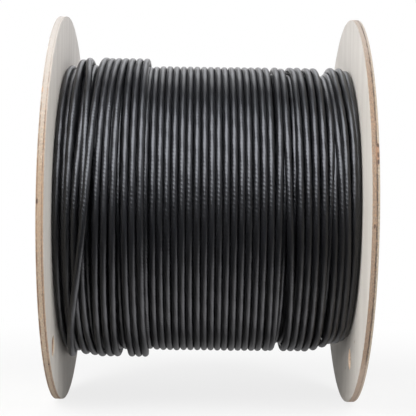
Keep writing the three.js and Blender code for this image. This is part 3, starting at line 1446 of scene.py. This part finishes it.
@dataclass
class Camera:
    """The camera, level with the drum's axis and square to it but for small turns."""

    place: Triple = (-5.68 * MM, -1068.3 * MM, 170.2 * MM)
    focal_pixels: float = 1185.3
    yaw: float = -0.366  # degrees; negative turns it towards +X
    pitch: float = 0.05
    roll: float = 0.683
    sensor: float = 36.0

    def build(self) -> None:
        """Makes the camera and sets it as the scene's."""
        yaw, pitch, roll = (math.radians(angle) for angle in (self.yaw, self.pitch, self.roll))
        turn = Matrix.Rotation(-yaw, 3, "Z")
        tip = Matrix.Rotation(-pitch, 3, "X")
        right, ahead, up = (tip @ turn)
        cr, sr = math.cos(roll), math.sin(roll)
        across = cr * right + sr * up
        above = cr * up - sr * right
        data = bpy.data.cameras.new("camera")
        data.sensor_width = self.sensor
        data.lens = self.focal_pixels / IMAGE_SIDE * self.sensor
        data.clip_start = 0.01
        camera = shown("camera", data)
        facing = Matrix((across, above, -ahead)).transposed().to_4x4()
        camera.matrix_world = Matrix.Translation(self.place) @ facing
        bpy.context.scene.camera = camera


@dataclass(frozen=True)
class Softbox:
    """A rectangular lamp that faces the drum. Its level is the share of full light it gives."""

    name: str
    direction: Triple
    distance: float
    width: float
    height: float
    level: float
    colour: Colour = WHITE


@dataclass(frozen=True)
class Panel:
    """A bright patch of the surroundings as glossy surfaces see it."""

    direction: Triple
    spread: Triple
    radiance: float
    colour: Colour = WHITE


@dataclass
class Studio:
    """A pale floor, white surroundings, soft lamps and the room that glossy surfaces reflect."""

    aim: Triple = (0.0, 0.0, AXIS)
    surroundings: float = 0.40  # what the world gives as light
    floor: Colour = (0.88, 0.88, 0.88)
    reach: float = 8.0  # from the floor's middle to its edges
    whitening: Pair = (0.20, 0.75)  # distances over which the floor grows white
    near_white: float = 0.80  # how white it is before them
    room: float = 4.0  # the room's radius
    panel_edge: Pair = (1.15, 0.70)  # where a panel begins and is full, in its spreads
    gloom: Colour = (0.020, 0.020, 0.022)
    lamps: tuple[Softbox, ...] = (
        Softbox("key", (-0.58, -0.54, 0.60), 1.6, 1.2, 1.2, 0.73, (1.0, 0.995, 0.99)),
        Softbox("fill", (0.60, -0.52, 0.62), 1.8, 1.2, 1.2, 0.44, (0.99, 0.995, 1.0)),
        Softbox("low", (-0.78, -0.62, 0.12), 1.6, 1.2, 0.36, 0.20, (1.0, 0.995, 0.99)),
    )
    panels: tuple[Panel, ...] = (
        Panel((-0.09, -0.65, 0.75), (0.55, 0.63, 0.63), 9.4, (0.94, 0.97, 1.05)),
        Panel((0.78, -0.35, 0.52), (0.50, 0.55, 0.50), 1.3, (0.94, 0.97, 1.05)),
        Panel((0.06, 0.66, 0.75), (0.29, 0.36, 0.36), 2.4, (0.97, 0.98, 1.02)),
        Panel((-0.08, 0.96, 0.22), (0.26, 0.42, 0.26), 1.8, (0.99, 0.98, 0.99)),
        Panel((0.12, 0.92, 0.34), (0.70, 0.50, 0.45), 0.6),
        Panel((0.50, 0.85, 0.12), (0.58, 0.50, 0.40), 0.27, (0.98, 0.98, 1.00)),
        Panel((0.64, -0.09, -0.77), (0.56, 0.58, 0.57), 2.4, (0.97, 0.97, 1.02)),
        Panel((0.12, -0.20, -0.97), (0.56, 0.60, 0.60), 0.95, (0.99, 0.97, 0.99)),
        Panel((0.20, 0.88, -0.42), (0.50, 0.45, 0.38), 0.45, (0.99, 0.98, 1.0)),
    )

    @staticmethod
    def _seen(graph: Graph) -> Value:
        """Where white shows: to the camera, in gloss and through glass.

        Args:
            graph: the floor's tree or the world's.

        Returns:
            1 for such rays and 0 for others.
        """
        rays = graph.node("ShaderNodeLightPath").outputs
        seen = graph.value(rays["Is Camera Ray"]).most(graph.value(rays["Is Glossy Ray"]))
        return seen.most(graph.value(rays["Is Transmission Ray"]))

    def _floor(self) -> None:
        """The floor, which is near white to the camera and keeps the drum's shadow."""
        mesh = bpy.data.meshes.new("floor")
        corners = [(-1, -1), (1, -1), (1, 1), (-1, 1)]
        points = [(x * self.reach, y * self.reach, 0.0) for x, y in corners]
        mesh.from_pydata(points, [], [range(len(points))])
        shader = Shader("floor")
        x, y, _ = shader.split(shader.position)
        away = (x * x + y * y).root().ramp(*self.whitening)
        plain = shader.node("ShaderNodeBsdfDiffuse", inputs={"Color": self.floor}).outputs[0]
        white = shader.node("ShaderNodeEmission", inputs={"Color": WHITE}).outputs[0]
        share = self._seen(shader) * (self.near_white + away * (1.0 - self.near_white))
        both = shader.node("ShaderNodeMixShader", inputs={0: share, 1: plain, 2: white})
        mesh.materials.append(shader.surface(both))
        floor = shown("floor", mesh)
        floor.visible_glossy = False

    def _world(self) -> None:
        """White to the camera and in reflections, and a plain grey as light."""
        world = bpy.data.worlds.new("studio")
        bpy.context.scene.world = world
        world.use_nodes = True
        graph = Graph(world.node_tree)
        strength = self.surroundings + self._seen(graph) * (1.0 - self.surroundings)
        lit = graph.node("ShaderNodeBackground", inputs={"Color": WHITE, "Strength": strength})
        graph.node("ShaderNodeOutputWorld", inputs={"Surface": lit.outputs[0]})

    def _room(self) -> None:
        """The dim room and its bright panels, which only reflections show."""
        rows, columns, radius = 24, 48, self.room
        leans = [math.pi * row / rows for row in range(1, rows)]
        arc = [(-radius * math.cos(lean), radius * math.sin(lean)) for lean in leans]
        mesh = turned([(-radius, 0.0), *arc, (radius, 0.0)], columns)
        shader = Shader("room")
        way = shader.vector("NORMALIZE", shader.position).outputs[0]
        light = self.gloom
        for panel in self.panels:
            centre = tuple(Vector(panel.direction).normalized())
            mask = shader.distance(way, centre, panel.spread).ramp(*self.panel_edge)
            bright = tuple(channel * panel.radiance for channel in panel.colour)
            light = shader.mix(mask, light, bright, "LIGHTEN")
        glow = shader.node("ShaderNodeEmission", inputs={"Color": light})
        mesh.materials.append(shader.surface(glow))
        shader.material.cycles.emission_sampling = "NONE"
        room = shown("room", mesh)
        room.location = self.aim
        for ray in ("camera", "diffuse", "shadow", "transmission"):
            setattr(room, f"visible_{ray}", False)

    def _lamp(self, box: Softbox) -> None:
        """Hangs one lamp.

        Args:
            box: the lamp.
        """
        light = bpy.data.lights.new(box.name, "AREA")
        light.shape = "RECTANGLE"
        light.size, light.size_y = box.width, box.height
        light.energy = box.level * (math.pi * box.distance) ** 2
        light.color = box.colour
        lamp = shown(box.name, light)
        towards = Vector(box.direction).normalized()
        lamp.location = Vector(self.aim) + towards * box.distance
        lamp.rotation_euler = towards.to_track_quat("Z", "Y").to_euler()
        lamp.visible_glossy = False
        lamp.visible_camera = False

    def build(self) -> None:
        """Sets up the floor, the surroundings and the lamps."""
        self._floor()
        self._world()
        self._room()
        for box in self.lamps:
            self._lamp(box)
        bpy.context.scene.view_settings.view_transform = "Standard"


# -------------------- the drum


def bolt_circle(count: int = 3, radius: float = 42 * MM) -> tuple[Pair, ...]:
    """The tie bolts' y and z from the drum's axis, the first one at the top."""
    angles = (math.pi / 2 + index * math.tau / count for index in range(count))
    return tuple((radius * math.cos(angle), radius * math.sin(angle)) for angle in angles)


LEFT_PLY = Plywood(
    name="plywood_left",
    inner_face=124.5 * MM,
    painted_top_light=0.95,
    painted_top_sheen=1.0,
    line_fading=0.95,
    fleck=(0.42, 0.23, 0.10),
    plies=(
        Ply(-1.0, (0.42, 0.36, 0.30)),
        Ply(0.5, (0.36, 0.255, 0.18)),
        Ply(1.2, (0.190, 0.118, 0.078), True),
        Ply(2.1, (0.40, 0.315, 0.235)),
        Ply(4.9, (0.170, 0.105, 0.068), True),
        Ply(5.9, (0.36, 0.28, 0.21)),
    ),
    knots=(
        Knot((-128.6, -163.0, 123.0), (9.0, 40.0, 36.0), (0.27, 0.18, 0.12), 0.2),
        Knot((-130.5, -168.0, 176.0), (9.0, 60.0, 34.0), (0.36, 0.25, 0.165), 0.45),
        Knot((-127.6, -87.0, 24.0), (12.0, 60.0, 34.0), (0.27, 0.21, 0.16), 0.30),
        Knot((-130.0, -142.7, 262.0), (0.8, 2.4, 4.4), (0.56, 0.37, 0.25), 0.7),
        Knot((-129.6, -170.0, 174.6), (0.8, 2.4, 2.6), (0.055, 0.033, 0.025)),
        Knot((-126.2, -113.8, 43.8), (0.8, 1.2, 1.2), (0.03, 0.02, 0.015)),
        Knot((-124.5, -100.0, 57.0), (1.6, 10.6, 10.6), (0.66, 0.58, 0.48), 0.8),
    ),
)
RIGHT_PLY = Plywood(
    name="plywood_right",
    inner_face=124.5 * MM,
    painted_top_light=0.45,
    painted_top_sheen=0.45,
    painted_top_sheen_from=262 * MM,
    plies=(
        Ply(-1.0, (0.42, 0.36, 0.30)),
        Ply(0.5, (0.298, 0.211, 0.150)),
        Ply(3.5, (0.070, 0.047, 0.035), True),
        Ply(4.3, (0.195, 0.155, 0.115)),
        Ply(4.9, (0.46, 0.385, 0.30)),
    ),
    knots=(
        Knot((129.4, -164.0, 214.0), (1.7, 5.0, 11.0), (0.36, 0.21, 0.13), 0.8),
        Knot((129.6, -162.4, 220.6), (0.9, 2.0, 2.0), (0.05, 0.035, 0.028)),
        Knot((129.6, -164.5, 212.9), (0.8, 2.0, 2.6), (0.09, 0.06, 0.045)),
        Knot((129.6, -165.6, 207.6), (0.9, 2.0, 2.4), (0.06, 0.045, 0.038)),
        Knot((126.8, -169.6, 158.6), (1.0, 2.0, 1.7), (0.12, 0.07, 0.05)),
        # Painted bounce light from the floor: a pale patch low on the front of the edge.
        Knot((127.6, -87.0, 20.0), (12.0, 70.0, 36.0), (0.55, 0.44, 0.36), 0.45),
        # Painted light: a pale patch that lightens the walls of the tail hole.
        Knot((124.5, -46.0, 42.0), (4.5, 11.2, 11.2), (0.84, 0.64, 0.48), 1.0),
        Knot((124.5, -77.6, 60.5), (1.0, 1.2, 1.4), (0.33, 0.24, 0.16), 0.9, True),
        Knot((124.5, -18.5, 30.8), (1.0, 1.0, 1.3), (0.32, 0.23, 0.16), 0.9, True),
    ),
)


def main() -> None:
    """Builds the camera and studio, then the drum from its flanges inwards."""
    logging.basicConfig(level=logging.INFO, format="%(name)s: %(message)s")
    Camera().build()
    Studio().build()
    bolts = bolt_circle()
    sweep = Sweep("swept_bar")
    pieces = [
        Flange(Side.LEFT, (-100 * MM, -113 * MM), LEFT_PLY, bolts).dress(),
        Flange(Side.RIGHT, (-46 * MM, -128 * MM), RIGHT_PLY, bolts).dress(),
        Barrel().dress(),
        *Ties(bolts, sweep).dress(),
        *Winding(sweep).dress(),
    ]
    LOG.info("%d pieces", len(pieces))


if __name__ == "__main__":
    main()
